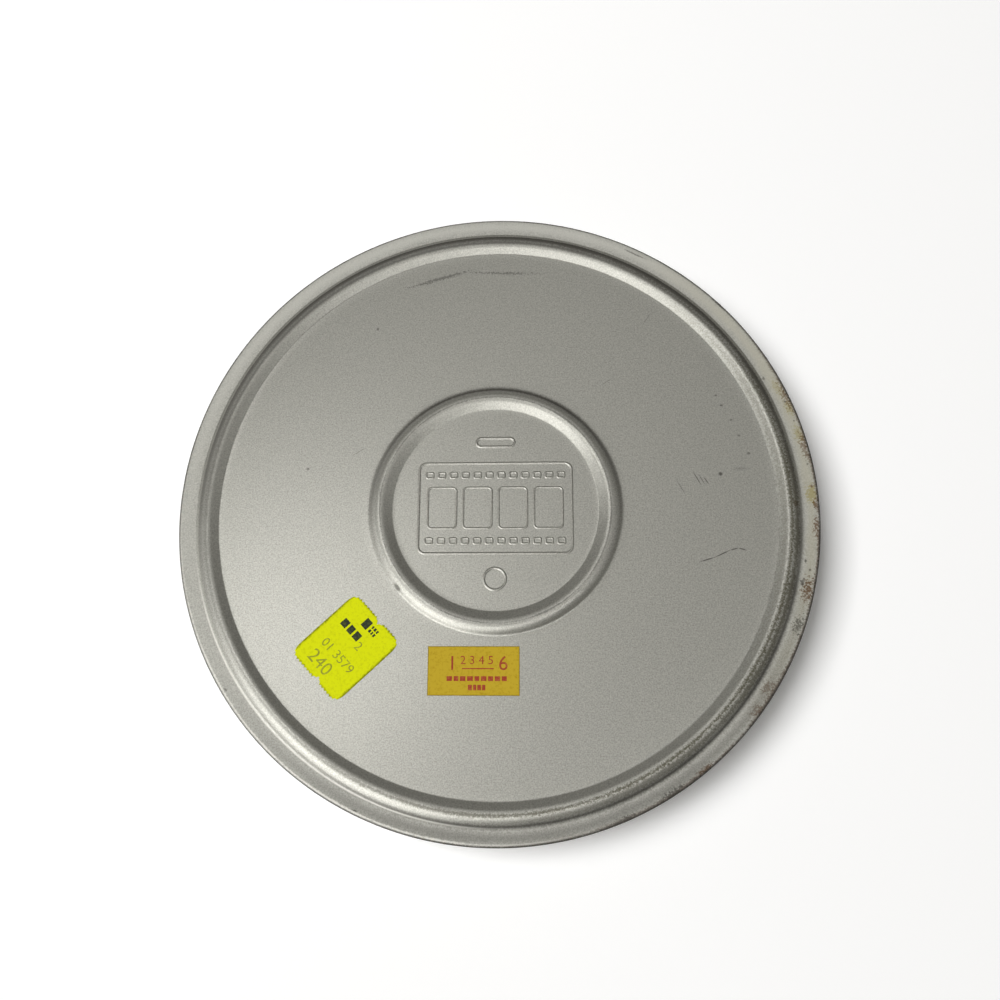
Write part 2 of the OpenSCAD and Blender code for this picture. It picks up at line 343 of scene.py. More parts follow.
@dataclass(frozen=True)
class SilverLacquer(Finish):
    """Aluminium-pigmented lacquer sprayed on pressed steel.

    It gives a soft metallic sheen with a fine sparkle from the flakes. It is dulled on the handled
    rim, rubbed through along the crests of the beads, dirty and stained in places and rusty at the
    edge. Painted shade darkens the bead slopes and feet that face away from the lights, the rim
    towards -Y and the turned-down edge; painted highlights brighten the edge and the outer foot
    towards -X and -Y, and painted light brightens the rim towards +Y.
    The grain is drawn about twice as coarse as the real pigment, so that it shows.
    """

    rim_r: float
    level: float = 0.0
    rings: tuple[Ring, ...] = ()
    marks: tuple[Mark, ...] = ()
    name: str = "silver_aluminium_lacquer_on_pressed_steel"
    tones: tuple[str, str] = ("9A9992", "C0BFB7")
    grain_mm: float = 0.38
    grain_limits: tuple[float, float] = (0.3, 0.7)
    speck_mm: float = 0.6
    patch_mm: float = 14.0
    detail: float = 4.0
    relief: float = 0.6
    roughness: float = 0.41
    worn_roughness: float = 0.88
    metallic: float = 0.8
    worn_metallic: float = 0.1
    specular: float = 0.15
    rim_dullness: float = 0.65
    rim_fade: tuple[float, float] = (-0.3, 0.2)
    bare_power: float = 3.0
    mark_core: float = 0.3
    mark_depth: float = 3.0

    def inputs(self, tree: NodeTree, place: NodeSocket) -> dict:
        """Adds the grain, dull rim, marks, and rings of dirt and of painted light and shade.

        Args:
            tree: the material's nodes.
            place: the coordinates in millimetres.

        Returns:
            The shader's values and links.
        """
        flat = add_node(tree, "VectorMath", {0: place, 1: (1, 1, 0)}, operation="MULTIPLY")
        radius = add_node(tree, "VectorMath", {0: flat}, "Value", operation="LENGTH")
        bearing = add_node(tree, "VectorMath", {0: flat}, operation="NORMALIZE")
        high = add_node(tree, "SeparateXYZ", {0: place}, "Z")
        section = add_node(tree, "CombineXYZ", {0: radius, 1: high})
        detail, limits = self.detail, self.grain_limits
        colour, grain = clouded(tree, place, self.grain_mm, detail, 0.5, limits, self.tones)
        noises = []
        for size, rough in ((self.speck_mm, 0.7), (self.patch_mm, 0.5)):
            spots = {"Vector": place, "Scale": 1 / size, "Detail": detail, "Roughness": rough}
            noises.append(add_node(tree, "TexNoise", spots))
        inside, outside = self.rim_r + np.array(self.rim_fade)
        dull = faded(tree, radius, outside, inside, self.rim_dullness)
        for tone in Tone:
            masks = [
                self.ring_mask(tree, section, bearing, noises, ring)
                for ring in self.rings if ring.tone is tone
            ] + [
                self.mark_mask(tree, place, noises[0], mark)
                for mark in self.marks if mark.tone is tone
            ]
            for mask in masks:
                # each ring or mark lays its tone over the colour: dirt, rust, stains, painted
                # shade or a painted highlight
                overlaid = {0: mask, 6: colour, 7: linear(tone.value)}
                colour = add_node(tree, "Mix", overlaid, 2, data_type="RGBA")
                dull = add_node(tree, "Math", {0: dull, 1: mask}, operation="MAXIMUM")
        bare = add_node(tree, "Math", {0: dull, 1: self.bare_power}, operation="POWER")
        metal = {"Value": dull, "To Min": self.metallic, "To Max": self.worn_metallic}
        gloss = {"Value": bare, "To Min": self.roughness, "To Max": self.worn_roughness}
        relief = {"Strength": self.relief, "Distance": RELIEF_MM * MM, "Height": grain}
        return {
            "Base Color": colour,
            "Metallic": add_node(tree, "MapRange", metal),
            "Roughness": add_node(tree, "MapRange", gloss),
            "Specular IOR Level": self.specular,
            "Normal": add_node(tree, "Bump", relief),
        }

    def ring_mask(
        self,
        tree: NodeTree,
        section: NodeSocket,
        bearing: NodeSocket,
        noises: list[NodeSocket],
        ring: Ring,
    ) -> NodeSocket:
        """Masks one ring: the distance from its circle, shifted by specks and by broad patches.

        Args:
            tree: the material's nodes.
            section: the distance from the can's axis and the height.
            bearing: the direction from the can's axis.
            noises: the fine noise and the broad one.
            ring: the ring.

        Returns:
            The mask, from 0 to the ring's strength.
        """
        half_width = ring.half_width
        reaches = zip(noises, (ring.ragged * half_width, ring.patchy * half_width))
        circle = (ring.radius, self.level + ring.height, 0.0)
        off = add_node(tree, "VectorMath", {0: section, 1: circle}, "Value", operation="DISTANCE")
        mask = faded(tree, off, 0.0, half_width, ring.strength, reaches)
        if ring.spread >= ALL_ROUND:
            return mask
        a = np.radians(ring.azimuth)
        side = {0: bearing, 1: (np.cos(a), np.sin(a), 0.0)}
        side = add_node(tree, "VectorMath", side, "Value", operation="DOT_PRODUCT")
        side = faded(tree, side, 1.0, np.cos(np.radians(ring.spread)))
        return add_node(tree, "Math", {0: mask, 1: side}, operation="MULTIPLY")

    def mark_mask(
        self, tree: NodeTree, place: NodeSocket, specks: NodeSocket, mark: Mark
    ) -> NodeSocket:
        """Masks one mark: an oval that fades from its core to its edge, which specks break up.

        Args:
            tree: the material's nodes.
            place: the coordinates in millimetres.
            specks: the fine noise.
            mark: the mark.

        Returns:
            The mask, from 0 to the mark's strength.
        """
        oval = {
            "Vector": place,
            "Location": (mark.x, mark.y, self.level),
            "Rotation": (0.0, 0.0, np.radians(mark.turn)),
            "Scale": (mark.length / 2, mark.width / 2, self.mark_depth),
        }
        local = add_node(tree, "Mapping", oval, vector_type="TEXTURE")
        off = add_node(tree, "VectorMath", {0: local}, "Value", operation="LENGTH")
        return faded(tree, off, self.mark_core, 1.0, mark.strength, [(specks, mark.grit)])


@dataclass(frozen=True)
class LabelPaper(Finish):
    """Coloured label paper, calendered and gummed: an even matt colour, grimy along its edges.

    Its fibres are drawn coarser than real ones, so that they show.
    """

    name: str
    tones: tuple[str, str]
    grime: str
    grime_mm: float
    label: "Label"
    grime_strength: float = 0.8
    cloud_mm: float = 0.8
    cloud_limits: tuple[float, float] = (0.3, 0.5)
    fibre_mm: float = 0.5
    relief: float = 0.2
    roughness: float = 0.7
    specular: float = 0.15

    def inputs(self, tree: NodeTree, place: NodeSocket) -> dict:
        """Adds the paper's cloudy colour, its fibres and its edges.

        Args:
            tree: the material's nodes.
            place: the coordinates in millimetres.

        Returns:
            The shader's values and links.
        """
        label, limits = self.label, self.cloud_limits
        colour, cloud = clouded(tree, place, self.cloud_mm, 5.0, 0.6, limits, self.tones)
        sheet = {
            "Vector": place,
            "Location": (label.x, label.y, 0.0),
            "Rotation": (0.0, 0.0, np.radians(label.turn)),
        }
        local = add_node(tree, "Mapping", sheet, vector_type="TEXTURE")
        off = add_node(tree, "VectorMath", {0: local}, operation="ABSOLUTE")
        half = (label.width / 2, label.height / 2, 0.0)
        inside = add_node(tree, "VectorMath", {0: half, 1: off}, operation="SUBTRACT")
        sides = add_node(tree, "SeparateXYZ", {0: inside}).node.outputs
        margin = add_node(tree, "Math", {0: sides[0], 1: sides[1]}, operation="MINIMUM")
        ragged = [(cloud, -2 * self.grime_mm)]
        dirt = faded(tree, margin, 0.0, self.grime_mm, self.grime_strength, ragged)
        dirty = {0: dirt, 6: colour, 7: linear(self.grime)}
        return {
            "Base Color": add_node(tree, "Mix", dirty, 2, data_type="RGBA"),
            "Roughness": self.roughness,
            "Specular IOR Level": self.specular,
            "Normal": textured(tree, place, self.fibre_mm, 3.0, self.relief),
        }


@dataclass(frozen=True)
class PrintInk(Finish):
    """Letterpress ink on paper: dull, and thin in places where the type pressed lightly."""

    name: str
    tones: tuple[str, str]
    thin_mm: float = 0.6
    thin_limits: tuple[float, float] = (0.45, 0.75)
    roughness: float = 0.7

    def inputs(self, tree: NodeTree, place: NodeSocket) -> dict:
        """Adds the small patches where the ink is thin."""
        colour, _ = clouded(tree, place, self.thin_mm, 4.0, 0.5, self.thin_limits, self.tones)
        return {"Base Color": colour, "Roughness": self.roughness}


@dataclass(frozen=True)
class MouldedPlastic(Finish):
    """Injection-moulded polystyrene with a fine spark-eroded texture: dull grey, slightly cloudy.

    The texture is drawn coarser than a real one, so that it shows.
    """

    name: str = "grey_moulded_polystyrene"
    tones: tuple[str, str] = ("595D60", "686C6F")
    flow_mm: float = 20.0
    flow_limits: tuple[float, float] = (0.0, 1.0)
    grain_mm: float = 0.35
    relief: float = 0.2
    roughness: float = 0.48

    def inputs(self, tree: NodeTree, place: NodeSocket) -> dict:
        """Adds the flow marks and the mould's texture.

        Args:
            tree: the material's nodes.
            place: the coordinates in millimetres.

        Returns:
            The shader's values and links.
        """
        colour, _ = clouded(tree, place, self.flow_mm, 5.0, 0.5, self.flow_limits, self.tones)
        normal = textured(tree, place, self.grain_mm, 2.0, self.relief)
        return {"Base Color": colour, "Roughness": self.roughness, "Normal": normal}


def bell(x: np.ndarray, crown: float, foot: float) -> np.ndarray:
    """Falls from 1 at x = 0 to 0 at x = 1, level at both ends and straight between.

    The crown is the parabola 1 - s x^2 / (2 crown), the side the line s (1 - foot / 2 - x) and
    the foot the parabola s (1 - x)^2 / (2 foot), with one slope s that joins them smoothly.

    Args:
        x: distance from the crest, as a share of the slope's width.
        crown: share of the width that belongs to the round crown.
        foot: share of the width that belongs to the hollow foot.

    Returns:
        The height, as a share of the crest's.
    """
    x = np.clip(x, 0, 1)
    slope = 1 / (1 - (crown + foot) / 2)
    side = np.where(x < 1 - foot, slope * (1 - foot / 2 - x), slope * (1 - x) ** 2 / (2 * foot))
    return np.where(x < crown, 1 - slope * x ** 2 / (2 * crown), side)


def arc(
    centre: tuple[float, float], radius: float, start: float, end: float, count: int
) -> np.ndarray:
    """Points of an arc: the centre plus the radius times (cos a, sin a).

    Args:
        centre: the arc's centre.
        radius: its radius.
        start: the first angle, in degrees.
        end: the last angle, in degrees.
        count: the number of points.

    Returns:
        The points, as rows of two coordinates.
    """
    a = np.radians(np.linspace(start, end, count))
    return np.column_stack([centre[0] + radius * np.cos(a), centre[1] + radius * np.sin(a)])


def rounded(
    width: float, height: float, corner: float, x: float = 0.0, y: float = 0.0
) -> np.ndarray:
    """Closed path of a rectangle with quarter-circle corners.

    Args:
        width: the rectangle's width.
        height: its height.
        corner: the radius of its corners.
        x: its middle, along X.
        y: its middle, along Y.

    Returns:
        The points, as rows of two coordinates.
    """
    a, b = width / 2 - corner, height / 2 - corner
    corners = ((a, b, 0), (-a, b, 90), (-a, -b, 180), (a, -b, 270))
    return np.vstack([
        arc((x + cx, y + cy), corner, start, start + 90, 9) for cx, cy, start in corners
    ])


def revolve(section: np.ndarray, steps: int) -> Shape:
    """Turns a half section round +Z: x = r cos a, y = r sin a, z as in the section.

    Args:
        section: rows of radius and height, from a point on the axis to another one on it.
        steps: the number of steps round the axis.

    Returns:
        The vertices, and the faces with both poles closed by triangles.
    """
    a = np.linspace(0, 2 * np.pi, steps, endpoint=False)
    r, z = section[1:-1, 0, None], section[1:-1, 1, None]
    rings = np.stack([r * np.cos(a), r * np.sin(a), z + 0 * a], -1)
    poles = np.array([[0, 0, section[0, 1]], [0, 0, section[-1, 1]]])
    points = np.vstack([rings.reshape(-1, 3), poles])
    index = np.arange(rings.shape[0] * steps).reshape(-1, steps)
    after = np.roll(index, -1, axis=1)
    quads = np.stack([index[:-1], index[1:], after[1:], after[:-1]], -1).reshape(-1, 4)
    top = np.column_stack([np.full(steps, len(points) - 2), index[0], after[0]])
    low = np.column_stack([np.full(steps, len(points) - 1), after[-1], index[-1]])
    return points, quads.tolist() + top.tolist() + low.tolist()


def ridge(path: np.ndarray, width: float, height: float, level: float, sunk: float) -> Shape:
    """Carries a bell section along a closed path: height times cos squared across the width.

    Args:
        path: rows of x and y, counter-clockwise, without the first point again at the end.
        width: the ridge's width.
        height: its height above the level.
        level: the height of the face that it stands on.
        sunk: how far its floor lies below that face.

    Returns:
        The vertices and the faces of a closed tube.
    """
    buried = 0.02 * height  # takes the ridge's thin borders under the face
    across = np.linspace(-0.5, 0.5, 11)
    rise = height * np.cos(np.pi * across) ** 2 - buried
    offset = np.concatenate([across, [0.5, -0.5]]) * width
    lift = np.concatenate([rise, [-sunk, -sunk]]) + level
    along = np.roll(path, -1, axis=0) - np.roll(path, 1, axis=0)
    along /= np.linalg.norm(along, axis=1, keepdims=True)
    outward = np.column_stack([along[:, 1], -along[:, 0]])
    flat = path[:, None] + outward[:, None] * offset[None, :, None]
    points = np.dstack([flat, np.broadcast_to(lift, flat.shape[:2])]).reshape(-1, 3)
    index = np.arange(len(points)).reshape(len(path), -1)
    ahead = np.roll(index, -1, axis=0)
    quads = np.stack([index, np.roll(index, -1, axis=1), np.roll(ahead, -1, axis=1), ahead], -1)
    return points, quads.reshape(-1, 4).tolist()


def slab(flat: np.ndarray, top: float, bottom: float) -> Shape:
    """Makes a closed sheet from a grid: the grid at the top, again at the bottom, and walls.

    Args:
        flat: grid of x and y, with its rows along +Y and its columns along +X.
        top: height of the upper side.
        bottom: height of the underside.

    Returns:
        The vertices and the faces.
    """
    rows, columns = flat.shape[:2]
    count = rows * columns
    upper, lower = (
        np.dstack([flat, np.full((rows, columns), z)]).reshape(-1, 3) for z in (top, bottom)
    )
    index = np.arange(count).reshape(rows, columns)
    quads = np.stack([index[:-1, :-1], index[:-1, 1:], index[1:, 1:], index[1:, :-1]], -1)
    quads = quads.reshape(-1, 4)
    edge = np.concatenate([index[0, :-1], index[:-1, -1], index[-1, :0:-1], index[:0:-1, 0]])
    after = np.roll(edge, -1)
    wall = np.column_stack([edge + count, after + count, after, edge])
    faces = quads.tolist() + (quads[:, ::-1] + count).tolist() + wall.tolist()
    return np.vstack([upper, lower]), faces


def joined(shapes: list[Shape]) -> Shape:
    """Puts several shapes into one, with their faces numbered on.

    Args:
        shapes: the shapes.

    Returns:
        All their vertices and faces.
    """
    points, faces, count = [], [], 0
    for shape_points, shape_faces in shapes:
        points.append(shape_points)
        faces += [[i + count for i in face] for face in shape_faces]
        count += len(shape_points)
    return np.vstack(points), faces


def digits(text: str, height: float, thickness: float) -> Shape:
    """Makes plain figures as a thin solid, centred on the origin.

    Args:
        text: the figures.
        height: the height of a figure.
        thickness: how thick the solid is.

    Returns:
        The vertices and the faces.
    """
    curve = bpy.data.curves.new("figures", "FONT")
    curve.body = text
    curve.align_x = "CENTER"
    curve.align_y = "CENTER"
    curve.size = height / CAP_HEIGHT
    curve.extrude = thickness / 2
    curve.resolution_u = 4
    holder = bpy.data.objects.new("figures", curve)
    bpy.context.scene.collection.objects.link(holder)
    bpy.context.view_layer.update()
    evaluated = holder.evaluated_get(bpy.context.evaluated_depsgraph_get())
    mesh = bpy.data.meshes.new_from_object(evaluated)
    points = np.empty(len(mesh.vertices) * 3)
    mesh.vertices.foreach_get("co", points)
    faces = [list(face.vertices) for face in mesh.polygons]
    bpy.data.objects.remove(holder)
    bpy.data.meshes.remove(mesh)
    bpy.data.curves.remove(curve)
    return points.reshape(-1, 3), faces


def moved(shape: Shape, x: float, y: float, z: float, turn: float = 0.0) -> Shape:
    """Turns a shape about +Z, in degrees, and then moves it.

    Args:
        shape: the shape.
        x: how far it moves along X.
        y: how far it moves along Y.
        z: how far it moves along Z.
        turn: how far it turns.

    Returns:
        The shape in its new place.
    """
    a = np.radians(turn)
    spin = np.array([[np.cos(a), -np.sin(a), 0], [np.sin(a), np.cos(a), 0], [0, 0, 1]])
    return shape[0] @ spin.T + (x, y, z), shape[1]


def add_piece(
    name: str,
    shape: Shape,
    body: Body,
    material: Material,
    smooth: bool = True,
    replaced: tuple[str, ...] = (),
) -> Object:
    """Makes a shape into a piece that rides on a body.

    Args:
        name: the piece's name.
        shape: its vertices, in millimetres, and its faces.
        body: the body that it rides on.
        material: its finish.
        smooth: whether its faces are shaded as one curved surface.
        replaced: the CAD nodes that it stands for.

    Returns:
        The piece.
    """
    points, faces = shape
    mesh = bpy.data.meshes.new(name)
    mesh.from_pydata((points * MM).tolist(), [], faces)
    mesh.polygons.foreach_set("use_smooth", np.full(len(mesh.polygons), smooth))
    mesh.materials.append(material)
    mesh.update()
    piece = bpy.data.objects.new(name, mesh)
    bpy.context.scene.collection.objects.link(piece)
    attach(piece, body.value)
    if replaced:
        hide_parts(*replaced)
    return piece


@dataclass
class PressedFace:
    """The pressed round face that lid and base share, with its two raised ring beads."""

    lid_r: float
    rim_w: float = 4.8
    bead_h: float = 1.6
    outer_out_w: float = 3.85
    outer_in_w: float = 3.15
    inner_r: float = 33.2
    inner_w: float = 3.7
    crown_in: float = 0.4
    foot_in: float = 0.1
    crown_out: float = 0.75
    foot_out: float = 0.2
    sheet_t: float = 0.4
    bend_r: float = 0.6

    @property
    def foot_r(self) -> float:
        """Radius of the outer bead's outer foot, where the rim begins."""
        return self.lid_r - self.rim_w

    @property
    def outer_r(self) -> float:
        """Radius of the outer bead's crest."""
        return self.foot_r - self.outer_out_w

    @property
    def bend_out(self) -> float:
        """Outside radius of the bend into the wall."""
        return self.bend_r + self.sheet_t

    def height(self, r: np.ndarray) -> np.ndarray:
        """Height of the beads: round crowns, straight sides and hollow feet.

        Args:
            r: distance from the axis.

        Returns:
            The height above the flat.
        """
        total = np.zeros_like(r)
        for crest, in_w, out_w in (
            (self.inner_r, self.inner_w, self.inner_w),
            (self.outer_r, self.outer_in_w, self.outer_out_w),
        ):
            towards = bell((crest - r) / in_w, self.crown_in, self.foot_in)
            away = bell((r - crest) / out_w, self.crown_out, self.foot_out)
            total += np.where(r < crest, towards, away)
        return self.bead_h * total

    def line(self, level: float, fine: int) -> np.ndarray:
        """Half section of the face, from the axis to the rim.

        Args:
            level: height of the flat.
            fine: number of points along one slope of a bead.

        Returns:
            Rows of radius and height.
        """
        edges = (
            0.0,
            self.inner_r - self.inner_w,
            self.inner_r,
            self.inner_r + self.inner_w,
            self.outer_r - self.outer_in_w,
            self.outer_r,
            self.foot_r,
        )
        parts = [np.linspace(a, b, fine, endpoint=False) for a, b in zip(edges, edges[1:])]
        r = np.append(np.concatenate(parts), self.foot_r)
        return np.column_stack([r, level + self.height(r)])


@dataclass
class CanLid:
    """The slip-over lid: pressed face, dished rim, skirt with an inward roll."""

    face: PressedFace
    level: float
    rim_rise: float = 0.65
    skirt_h: float = 13.0
    curl_d: float = 1.6
    curl_turn: float = 270.0
    steps: int = 400

    def shell(self) -> Shape:
        """Turns the lid's section: face, rim, bend, skirt, roll, and back along the inside.

        Returns:
            The vertices and the faces.
        """
        face = self.face
        edge = self.level + self.rim_rise
        bend = (face.lid_r - face.bend_out, edge - face.bend_out)
        curl_r = self.curl_d / 2
        curl = (face.lid_r - curl_r, edge - self.skirt_h + curl_r)
        section = np.vstack([
            face.line(self.level, 24),
            arc(bend, face.bend_out, 90, 0, 12),
            arc(curl, curl_r, 0, -self.curl_turn, 20),
            arc(curl, curl_r - face.sheet_t, -self.curl_turn, 0, 14),
            arc(bend, face.bend_r, 0, 90, 7),
            face.line(self.level - face.sheet_t, 8)[::-1],
        ])
        return revolve(section, self.steps)

    def build(self, lacquer: Material) -> list[Object]:
        """Makes the lid in its lacquer."""
        shell = self.shell()
        return [add_piece("lid_shell", shell, Body.LID, lacquer, True, ("can_lid",))]


@dataclass
class Emblem:
    """Raised lines in the lid's middle: a frame with a plain strip of film in it, and two marks.

    The slot, a picture and a hole have a width, a height and a corner radius.
    """

    level: float
    width: float = 45.0
    height: float = 27.5
    corner: float = 2.6
    line_w: float = 0.9
    line_h: float = 0.25
    sunk: float = 0.1
    slot: tuple[float, float, float] = (11.0, 2.6, 1.29)
    slot_y: float = 19.6
    circle_r: float = 3.1
    circle_y: float = -20.6
    circle_sides: int = 48
    pictures: int = 4
    picture: tuple[float, float, float] = (8.2, 12.0, 1.2)
    picture_pitch: float = 10.2
    holes: int = 12
    hole: tuple[float, float, float] = (2.0, 1.6, 0.4)
    hole_pitch: float = 3.45
    hole_y: float = 9.7
    fine_w: float = 0.7
    fine_h: float = 0.2

    def lines(self) -> list[np.ndarray]:
        """Draws the frame, the slot above it and the circle below it.

        Returns:
            Their closed paths.
        """
        inset = self.line_w
        border = rounded(self.width - inset, self.height - inset, self.corner - inset / 2)
        slot = rounded(*self.slot, 0.0, self.slot_y)
        circle = arc((0.0, self.circle_y), self.circle_r, 0, 360, self.circle_sides + 1)[:-1]
        return [border, slot, circle]

    def strip(self) -> list[np.ndarray]:
        """Draws the film: pictures in a row, with a row of holes above and below.

        Returns:
            Their closed paths.
        """
        columns = (np.arange(self.pictures) - (self.pictures - 1) / 2) * self.picture_pitch
        places = (np.arange(self.holes) - (self.holes - 1) / 2) * self.hole_pitch
        pictures = [rounded(*self.picture, x) for x in columns]
        rows = (-self.hole_y, self.hole_y)
        return pictures + [rounded(*self.hole, x, y) for y in rows for x in places]

    def build(self, lacquer: Material) -> list[Object]:
        """Makes the raised lines in the lid's lacquer.

        Args:
            lacquer: the lid's finish.

        Returns:
            The pieces.
        """
        lines = [
            ridge(path, width, height, self.level, self.sunk)
            for paths, width, height in (
                (self.lines(), self.line_w, self.line_h),
                (self.strip(), self.fine_w, self.fine_h),
            )
            for path in paths
        ]
        return [add_piece("lid_emblem", joined(lines), Body.LID, lacquer)]


@dataclass
class CanBase:
    """The deep base: the pressed face with its beads upwards, and a plain wall."""

    face: PressedFace
    wall_r: float
    top: float
    steps: int = 400

    def shell(self) -> Shape:
        """Turns the base's section: inside face, wall, top edge, and back along the underside.

        Returns:
            The vertices and the faces.
        """
        face = self.face
        bend = (self.wall_r - face.bend_out, face.bend_out)
        section = np.vstack([
            face.line(face.sheet_t, 16),
            arc(bend, face.bend_r, -90, 0, 8),
            [[self.wall_r - face.sheet_t, self.top], [self.wall_r, self.top]],
            arc(bend, face.bend_out, 0, -90, 10),
            face.line(0.0, 16)[::-1],
        ])
        return revolve(section, self.steps)

    def build(self, lacquer: Material) -> list[Object]:
        """Makes the base in its lacquer."""
        shell, nodes = self.shell(), ("can_base",)
        return [add_piece("base_shell", shell, Body.BASE, lacquer, True, nodes)]


@dataclass(frozen=True)
class Figures:
    """Plain figures: their text, and their middle and height in millimetres."""

    text: str
    x: float
    y: float
    height: float

    def solid(self, bottom: float, top: float) -> Shape:
        """Makes the figures between two heights."""
        figures = digits(self.text, self.height, top - bottom)
        return moved(figures, self.x, self.y, (top + bottom) / 2)


@dataclass(frozen=True)
class Bar:
    """A plain bar: its middle and its size in millimetres."""

    x: float
    y: float
    width: float
    height: float

    def solid(self, bottom: float, top: float) -> Shape:
        """Makes the bar between two heights."""
        ends = np.array([[-0.5], [0.5]]) * (self.width, self.height) + (self.x, self.y)
        return slab(np.dstack(np.meshgrid(*ends.T)), top, bottom)


def row_of_bars(
    x: float, y: float, widths: tuple[float, ...], height: float, gap: float
) -> list[Bar]:
    """Sets bars side by side, centred on x.

    Args:
        x: middle of the row.
        y: height of the row's middle.
        widths: the bars' widths.
        height: the bars' height.
        gap: the space between two bars.

    Returns:
        The bars.
    """
    ends = np.cumsum(np.array(widths) + gap)
    start = x - (ends[-1] - gap) / 2
    return [Bar(start + end - gap - w / 2, y, w, height) for end, w in zip(ends, widths)]


@dataclass
class Label:
    """A paper label stuck on the lid, with print on it."""

    x: float
    y: float
    level: float
    width: float
    height: float
    turn: float = 0.0
    paper_t: float = 0.1
    ink_t: float = 0.015
    ink_sunk: float = 0.03

    def outline(self, u: np.ndarray) -> np.ndarray:
        """Half height at u, which is the same all along a plain rectangle."""
        return np.full_like(u, self.height / 2)

    def placed(self, shape: Shape) -> Shape:
        """Takes a shape from the label's own middle to its place on the lid."""
        return moved(shape, self.x, self.y, self.level, self.turn)

    def sheet(self, columns: int, rows: int) -> Shape:
        """Makes the paper as a grid between its two outlines.

        Args:
            columns: the number of points across its width.
            rows: the number of points along its height.

        Returns:
            The vertices and the faces.
        """
        u = np.linspace(-self.width / 2, self.width / 2, columns)
        v = np.linspace(-1, 1, rows)
        flat = np.dstack([np.broadcast_to(u, (rows, columns)), np.outer(v, self.outline(u))])
        return self.placed(slab(flat, self.paper_t, 0.0))

    def printed(
        self, name: str, slot: Slot, ink: Material, items: list[Bar | Figures]
    ) -> Object:
        """Prints bars and figures as one thin piece on the paper.

        Args:
            name: the piece's name.
            slot: the paper's slot; not used.
            ink: the ink's finish.
            items: what is printed.

        Returns:
            The piece.
        """
        bottom, top = self.paper_t - self.ink_sunk, self.paper_t + self.ink_t
        shape = self.placed(joined([item.solid(bottom, top) for item in items]))
        return add_piece(name, shape, Body.LID, ink, smooth=False)


@dataclass
class TitleLabel(Label):
    """The gold label: a plain rectangle with generic figures, a rule and bars in red."""

    def build(self, paper: Material, ink: Material) -> list[Object]:
        """Makes the label and its print.

        Args:
            paper: the paper's finish.
            ink: the ink's finish.

        Returns:
            The pieces.
        """
        sheet, slot = self.sheet(40, 24), Slot.GOLD_PAPER
        items = [
            Figures("1", -5.9, 1.9, 3.9),
            Figures("2 3 4 5", 0.9, 2.8, 2.3),
            Figures("6", 8.2, 1.9, 3.9),
            Bar(1.2, 0.6, 8.8, 0.32),
            *row_of_bars(0.9, -2.1, (1.5, 1.3, 1.5, 1.6, 1.3, 1.5, 1.4, 1.5, 1.4), 1.3, 0.45),
            *row_of_bars(0.9, -4.5, (1.1, 0.9, 1.0, 0.9), 1.5, 0.3),
        ]
        return [
            add_piece("title_paper", sheet, Body.LID, paper, False, ("title_label",)),
            self.printed("title_print", slot, ink, items),
        ]


@dataclass
class PriceLabel(Label):
    """The yellow price label, set askew, with teeth and a notch in its two cut sides."""

    teeth: int = 18
    tooth: float = 0.45
    corner: float = 2.8
    notch: float = 1.1
    notch_w: float = 1.0
    notch_x: float = 1.2

    def outline(self, u: np.ndarray) -> np.ndarray:
        """Half height at u: the full one less saw teeth, a bell-shaped notch and round corners.

        Args:
            u: distance from the label's middle, along its width.

        Returns:
            The half height.
        """
        saw = np.abs((u / self.width + 0.5) * self.teeth % 1 - 0.5) * 2
        notch = self.notch * np.exp(-(((u - self.notch_x) / self.notch_w) ** 2))
        into = np.clip((np.abs(u) - self.width / 2 + self.corner) / self.corner, 0, 1)
        cut = self.corner * (1 - np.sqrt(1 - into ** 2))
        return self.height / 2 - self.tooth * saw - notch - cut

    def build(self, paper: Material, ink: Material, stamp: Material) -> list[Object]:
        """Makes the label, its dark print and the fainter stamped figures.

        Args:
            paper: the paper's finish.
            ink: the dark ink's finish.
            stamp: the faint ink's finish.

        Returns:
            The pieces.
        """
        sheet, slot = self.sheet(8 * self.teeth + 1, 40), Slot.YELLOW_PAPER
        bold = [
            Bar(-0.9, 8.6, 2.1, 2.8),
            *row_of_bars(2.0, 9.2, (0.5, 0.7, 0.5), 0.9, 0.3),
            *row_of_bars(2.0, 7.9, (0.7, 0.5, 0.6), 0.9, 0.3),
            *row_of_bars(-2.7, 4.3, (2.0, 1.8, 2.0), 2.3, 0.6),
        ]
        faint = [
            Figures("2", 2.2, 2.7, 2.5),
            Figures("01 3579", 0.2, -3.2, 2.6),
            Figures("240", -1.8, -8.0, 3.7),
        ]
        return [
            add_piece("price_paper", sheet, Body.LID, paper, False, ("price_label",)),
            self.printed("price_print", slot, ink, bold),
            self.printed("price_stamp", slot, stamp, faint),
        ]


